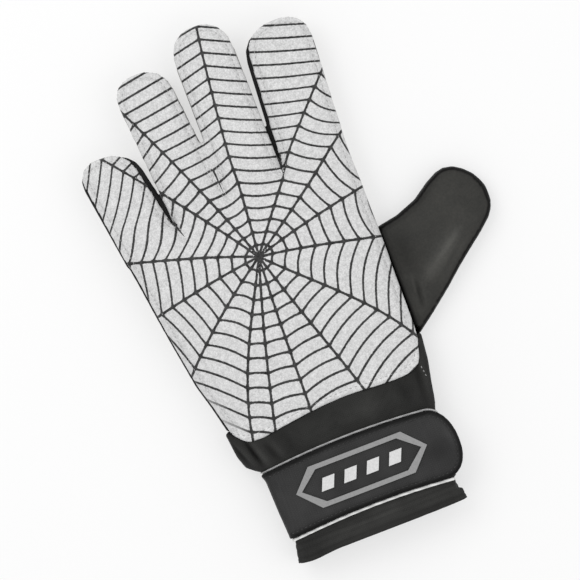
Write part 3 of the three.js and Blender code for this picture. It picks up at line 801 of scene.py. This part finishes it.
def satinHide(name, dark, lit):
    material, shader = startMaterial(name, dark, 0.5, specular=0.09)
    coords = objectCoords(material)
    pebble = grainFactor(material, coords, 0.8 * mm)
    streak = noiseFactor(material, coords, 9 * mm, 5, 0.6)
    fine = noiseFactor(material, coords, 1.3 * mm, 5, 0.7)
    tone = mathNode(material, "ADD", rangeNode(material, streak, 0.35, 0.7, 0, 0.5),
                    rangeNode(material, fine, 0.35, 0.7, 0, 0.5), clamp=True)
    join(material, toned(material, mixColor(material, tone, dark, lit)), shader.inputs["Base Color"])
    join(material, rangeNode(material, streak, 0.3, 0.7, 0.42, 0.6), shader.inputs["Roughness"])
    rough = bumpFrom(material, fine, 0.3, 0.2 * mm)
    join(material, bumpFrom(material, pebble, 0.3, 0.1 * mm, rough), shader.inputs["Normal"])
    return material


def rimDistance(points, normals, level, middle):
    # distance in plan from each point to the piece's own outer edge, below a level or above it
    low, high = level
    fromMiddle = points[:, :2] - np.array(middle)
    facingOut = (normals[:, :2] * fromMiddle).sum(axis=1) > 0.3 * np.linalg.norm(fromMiddle, axis=1)
    rim = points[facingOut & (points[:, 2] > low) & (points[:, 2] < high)]
    return pathDistance(points, rim[:, :2])


def makeThumb(name, nodeName, level, folds, strokes, crownRounds):
    piece = softPiece(name, [nodeName], thumb["voxel"], thumb["rounds"], crownRounds)
    points = readPoints(piece.data)
    normals = readNormals(piece.data)
    rimAway = rimDistance(points, normals, level, thumb["middle"])
    rimAway = np.minimum(rimAway, np.maximum(points[:, 0] - thumb["rootEdge"], 0))
    points += normals * thumb["swell"]
    up = np.clip(normals[:, 2], 0, 1)
    fold = foldField(points, folds)
    for height, place, width in (thumb["roll"], thumb["groove"]):
        fold += height * np.exp(-((rimAway - place) / width) ** 2)
    points[:, 2] += fold * up
    writePoints(piece.data, points)
    # painted shade: darker toward the rim and nearly black on the rolled seam, as its shadowed side; the
    # strokes are painted highlights and painted shade, and the sides get painted side shade
    rimShade = np.clip((thumb["rim"] + 0.4 * mm - rimAway) / (0.6 * mm), 0, 1)
    tone = 1 + foldField(points, strokes) / mm - 0.12 * np.clip((4 * mm - rimAway) / (3 * mm), 0, 1)
    tone *= 1 - (1 - thumb["rimShadeTone"]) * rimShade
    paintTone(piece.data, tone * sideShade(normals, thumb["sideShade"]))
    dress(piece, thumbHide)


thumbHide = satinHide("thumbHide", thumb["dark"], thumb["lit"])
makeThumb("thumb_upper", "thumb_back", (0, thumb["seamLevel"]), thumb["folds"], thumb["strokes"],
          thumb["crownRounds"])
makeThumb("thumb_lower", "thumb_palm", (4 * mm, thumb["seamLevel"]), (), (), 0)
print("thumb done")


# gathered wrist

sleeve = {
    "voxel": 0.9 * mm, "rounds": 5, "crownRounds": 8, "swell": 0.3 * mm, "foldsAbove": 11 * mm,
    "dark": (0.0165, 0.0165, 0.0157), "lit": (0.032, 0.032, 0.0305),
    # folds: start, end, half width, height in mm
    "folds": (
        ((-45.0, -77.5), (-39.8, -91.5), 0.9, -0.9),
        ((-43.0, -79.0), (-37.6, -92.0), 1.1, 0.9),
        ((-39.0, -77.5), (-34.2, -94.0), 1.0, -1.7),
        ((-36.0, -80.0), (-30.7, -96.0), 1.4, 1.0),
        ((-30.5, -82.5), (-25.6, -94.5), 1.5, -0.9),
        ((-26.6, -83.5), (-22.6, -94.5), 1.9, 0.6),
        ((-19.0, -81.5), (-17.5, -93.5), 2.2, -0.45),
        ((-9.0, -80.0), (-10.0, -93.0), 3.4, 0.35),
        ((8.0, -78.5), (4.0, -92.0), 3.0, -0.35),
        ((24.0, -78.5), (22.0, -92.0), 4.0, 0.35),
        ((41.0, -79.0), (44.0, -93.0), 2.6, -0.5),
        ((52.5, -70.0), (50.5, -94.0), 1.6, -0.7),
        ((56.0, -64.0), (54.0, -90.0), 1.3, 0.6),
    ),
    "hemSeams": (-141.6 * mm, -138.4 * mm, -135.4 * mm),
    "hemSeamWide": 0.45 * mm, "hemSeamDepth": 0.22 * mm,
    "hemTop": -133 * mm, "hemDip": 1.3 * mm, "hemDipAt": -28 * mm, "hemDipWide": 9 * mm,
    "notch": 1.4 * mm, "notchFrom": 50 * mm, "notchSpan": (-139 * mm, -132 * mm),
    "panelShade": 1.4 * mm, "sideShade": 0.7,
    "seamPath": ((54.8, -75.6), (55.7, -82.6)),  # short stitched seam at the right
    "stitch": {"pitch": 2.2 * mm, "share": 0.6, "thick": 0.5 * mm, "lift": 0.1 * mm},
    # paler and darker strokes: start, end, half width in mm, change of tone
    "strokes": (
        ((2, -86), (42, -86), 5.0, 0.34),
        ((-38, -82), (-24, -88), 4.0, 0.12),
        ((-22, -138), (54, -137), 4.5, 0.6),
        ((-22, -134.5), (8, -133.0), 1.3, -0.25),
        ((-12, -137.4), (22, -136.6), 0.7, 0.3),
        ((6, -133.6), (44, -134.2), 0.8, 0.22),
        ((-26, -141.0), (-8, -140.4), 0.8, 0.22),
        ((24, -140.2), (50, -139.6), 0.7, 0.2),
    ),
}

sleeveKnit = knitMaterial("sleeveKnit", sleeve["dark"], sleeve["lit"], 0.9 * mm, 0.72, 0.03, 0.09 * mm)


def makeSleeve():
    piece = softPiece("cloth_wrist", ["wrist_sleeve"], sleeve["voxel"], sleeve["rounds"],
                      sleeve["crownRounds"])
    points = readPoints(piece.data)
    normals = readNormals(piece.data)
    points += normals * sleeve["swell"]
    top = np.clip(normals[:, 2] * 1.5, 0, 1) * (points[:, 2] > sleeve["foldsAbove"])
    fold = foldField(points, sleeve["folds"])
    panelAway = pathDistance(points, pathSamples(lowerPath, 0.5 * mm))
    points[:, 2] += fold * top
    outward = np.linalg.norm(normals[:, [0, 2]], axis=1)
    seams = np.zeros(len(points))
    for seamY in sleeve["hemSeams"]:
        seams += np.exp(-((points[:, 1] - seamY) / sleeve["hemSeamWide"]) ** 2)
    points -= normals * (seams * outward * sleeve["hemSeamDepth"])[:, None]
    # the hem hangs lower at the left and steps in at the slit
    nearHem = np.clip((sleeve["hemTop"] - points[:, 1]) / (9 * mm), 0, 1)
    dipAway = (points[:, 0] - sleeve["hemDipAt"]) / sleeve["hemDipWide"]
    points[:, 1] -= nearHem * sleeve["hemDip"] * np.exp(-dipAway ** 2)
    low, high = sleeve["notchSpan"]
    inNotch = (points[:, 1] > low) & (points[:, 1] < high)
    step = np.clip((points[:, 0] - sleeve["notchFrom"]) / (2 * mm), 0, 1)
    points[:, 0] -= np.where(inNotch, sleeve["notch"], 0) * step
    writePoints(piece.data, points)
    # painted highlights on the fold ridges and painted shade in the fold creases, darker along the hem
    # seams
    tone = 1 + np.where(fold > 0, 0.75, 0.55) * fold / mm * top - 0.22 * np.clip(seams, 0, 1)
    tone += foldField(points, sleeve["strokes"]) / mm
    # painted shadow cast by the white panel's lower edge onto the sleeve, and painted side shade
    shade = np.exp(-(panelAway / sleeve["panelShade"]) ** 2)
    paintTone(piece.data, tone * (1 - 0.75 * shade) * sideShade(normals, sleeve["sideShade"]))
    dress(piece, sleeveKnit)
    return piece


sleevePiece = makeSleeve()
seamPath = [(x * mm, y * mm) for x, y in sleeve["seamPath"]]
stitchRows("sleeve_stitching", sleevePiece, [seamPath], sleeve["stitch"], paleThread)
print("wrist done")


# strap with bound edges

strap = {
    "voxel": 0.72 * mm, "rounds": 5, "crownRounds": 20, "swell": 0.25 * mm,
    "dark": (0.026, 0.026, 0.026), "lit": (0.046, 0.046, 0.046),
    "middle": -0.4257 * hand["length"], "width": 34.4 * mm, "arch": 0.00135 / mm, "archMiddle": 10 * mm,
    "tabRoot": 46.5 * mm, "tabReach": 12.9 * mm, "tabNose": -0.4375 * hand["length"],
    "tabRoundAbove": 2.15, "tabRoundBelow": 2.4, "leftEnd": -45 * mm,
    "binding": 1.9 * mm, "bindingRise": 0.3 * mm, "bindingColourAndShade": 0.16, "sideShade": 0.7,
    "channelGap": 0.3 * mm, "channelWide": 0.5 * mm, "channelDepth": 0.35 * mm,
    "lowerShade": (0.45, 5.5 * mm), "leftShade": (0.35, 6 * mm, -37 * mm),  # painted shade toward the lower edge and the left end: depth, width and where
    "stitch": {"pitch": 2.3 * mm, "share": 0.62, "thick": 0.4 * mm, "lift": 0.06 * mm},
    "stitchFrom": -34 * mm,
    # paler and darker strokes: start, end, half width in mm, change of tone
    "strokes": (
        ((46, -112), (49, -122), 6.0, -0.3),
        ((54, -108), (57, -116), 1.6, 0.25),
        ((-34, -118), (-30, -104), 3.0, 0.15),
        ((-20, -126), (20, -124), 3.0, 0.15),
    ),
}


def strapEdge(x, side, inset=0.0):
    away = x - strap["archMiddle"]
    return strap["middle"] + side * (strap["width"] / 2 - inset) - strap["arch"] * away * away


def strapOutline(inset, leftEnd):
    line = [(x, strapEdge(x, 1, inset)) for x in np.linspace(leftEnd, strap["tabRoot"], 20)]
    nose = strap["tabNose"]
    for turn in np.linspace(math.pi / 2, -math.pi / 2, 25)[1:-1]:
        up = math.sin(turn)
        side = 1 if up >= 0 else -1
        power = 2 / (strap["tabRoundAbove"] if up >= 0 else strap["tabRoundBelow"])
        reach = (strap["tabReach"] - inset) * abs(math.cos(turn)) ** power
        rise = (strapEdge(strap["tabRoot"], side, inset) - nose) * abs(up) ** power
        line.append((strap["tabRoot"] + reach, nose + rise))
    line += [(x, strapEdge(x, -1, inset)) for x in np.linspace(strap["tabRoot"], leftEnd, 20)]
    return np.array(line)


strapWebbing = knitMaterial("strapWebbing", strap["dark"], strap["lit"], 1.0 * mm, 0.6, 0.04, 0.06 * mm)


def makeStrap():
    piece = softPiece("bound_strap", ["closure_strap"], strap["voxel"], strap["rounds"],
                      strap["crownRounds"])
    points = readPoints(piece.data)
    normals = readNormals(piece.data)
    points += normals * strap["swell"]
    away = pathDistance(points, pathSamples(strapOutline(0, strap["leftEnd"]), 0.4 * mm))
    top = np.clip(normals[:, 2] * 1.5, 0, 1) * (points[:, 2] > 10 * mm)
    binding = np.clip((strap["binding"] - away) / (0.7 * mm), 0, 1)
    channel = np.exp(-((away - strap["binding"] - strap["channelGap"]) / strap["channelWide"]) ** 2)
    rise = binding * strap["bindingRise"] - channel * strap["channelDepth"]
    points += normals * (rise * top)[:, None]
    writePoints(piece.data, points)
    # painted shade toward the lower edge, toward the left end, in the stitch channel and on the sides
    lowerDepth, lowerWide = strap["lowerShade"]
    leftDepth, leftWide, leftAt = strap["leftShade"]
    lowerAway = points[:, 1] - strapEdge(points[:, 0], -1)
    lowerShade = np.clip(1 - lowerAway / lowerWide, 0, 1) ** 1.5
    leftShade = np.clip(1 - (points[:, 0] - leftAt) / leftWide, 0, 1)
    tone = (1 - lowerDepth * lowerShade) * (1 - leftDepth * leftShade)
    # the bound edge is darker: partly its own darker colour, partly painted shade on the rolled edge
    tone *= 1 - (1 - strap["bindingColourAndShade"]) * binding
    tone *= 1 + foldField(points, strap["strokes"]) / mm
    paintTone(piece.data, tone * (1 - 0.25 * channel) * sideShade(normals, strap["sideShade"]))
    dress(piece, strapWebbing)
    return piece


strapPiece = makeStrap()
strapSeam = strapOutline(strap["binding"] + strap["channelGap"], strap["stitchFrom"])
stitchRows("strap_stitching", strapPiece, [strapSeam], strap["stitch"], darkThread)
print("strap done")


# pipings

piping = {
    "voxel": 0.3 * mm, "rounds": 5, "slim": 0.04 * mm,
    "upper": (0.4, 0.4, 0.4), "lower": (0.86, 0.86, 0.85),
    # the upper one runs on round the shoulder of the tab
    "bendFrom": 45 * mm, "bendTo": 54.5 * mm,
}


def pipingCord(name, color):
    material, shader = startMaterial(name, color, 0.6, sheen=0.1)
    coords = objectCoords(material)
    wave = addNode(material, "ShaderNodeTexWave", Scale=95.0, Distortion=0.4, Detail=1.0)
    wave.bands_direction = "DIAGONAL"
    join(material, coords, wave.inputs["Vector"])
    dim = tuple(channel * 0.62 for channel in color)
    dimmed = rangeNode(material, wave.outputs["Fac"], 0.2, 0.9, 0.55, 0)
    join(material, mixColor(material, dimmed, color, dim), shader.inputs["Base Color"])
    join(material, bumpFrom(material, wave.outputs["Fac"], 0.6, 0.12 * mm), shader.inputs["Normal"])
    return material


def bendShoulder(points):
    # stretches the end of the cord and lowers it to follow the tab's rounded shoulder
    reach = points[:, 0].max() - piping["bendFrom"]
    beyond = np.maximum(points[:, 0] - piping["bendFrom"], 0) / reach
    edgeBefore = strapEdge(points[:, 0], 1)
    points[:, 0] += beyond * (piping["bendTo"] - piping["bendFrom"] - reach)
    outline = strapOutline(0, strap["leftEnd"])
    shoulder = outline[outline[:, 1] > strap["tabNose"]]
    edgeAfter = np.interp(points[:, 0], shoulder[:, 0], shoulder[:, 1])
    points[:, 1] += (edgeAfter - edgeBefore) * (beyond > 0)


for pipingName, nodeName, slotName, color in (
    ("upper_cord", "strap_upper_piping", "upper_piping", piping["upper"]),
    ("lower_cord", "strap_lower_piping", "lower_piping", piping["lower"]),
):
    cordPiece = softPiece(pipingName, [nodeName], piping["voxel"], piping["rounds"])
    cordPoints = readPoints(cordPiece.data)
    cordPoints -= readNormals(cordPiece.data) * piping["slim"]
    if pipingName == "upper_cord":
        bendShoulder(cordPoints)
    writePoints(cordPiece.data, cordPoints)
    dress(cordPiece, pipingCord(pipingName + "Cloth", color))
print("pipings done")


# badge and fastener keep their solids and get their finishes

def moulded(name, color, roughness):
    material, shader = startMaterial(name, color, roughness)
    coords = objectCoords(material)
    speck = noiseFactor(material, coords, 0.9 * mm, 4, 0.7)
    dim = tuple(channel * 0.8 for channel in color)
    dimmed = rangeNode(material, speck, 0.35, 0.7)
    join(material, mixColor(material, dimmed, color, dim), shader.inputs["Base Color"])
    join(material, bumpFrom(material, speck, 0.35, 0.08 * mm), shader.inputs["Normal"])
    return material


badge = {"frame": (0.3, 0.3, 0.3), "bars": (0.72, 0.72, 0.72), "pile": (0.01, 0.01, 0.01)}
barNames = tuple(f"badge_bar_{number}" for number in range(1, 5))
for nodeNames, material in (
    (("badge_frame",), moulded("badgeRubber", badge["frame"], 0.5)),
    (barNames, moulded("barRubber", badge["bars"], 0.5)),
    (("strap_fastener",), moulded("hookPile", badge["pile"], 0.9)),
):
    for nodeName in nodeNames:
        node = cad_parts[nodeName]
        node.data.materials.clear()
        node.data.materials.append(material)
print("badge done")
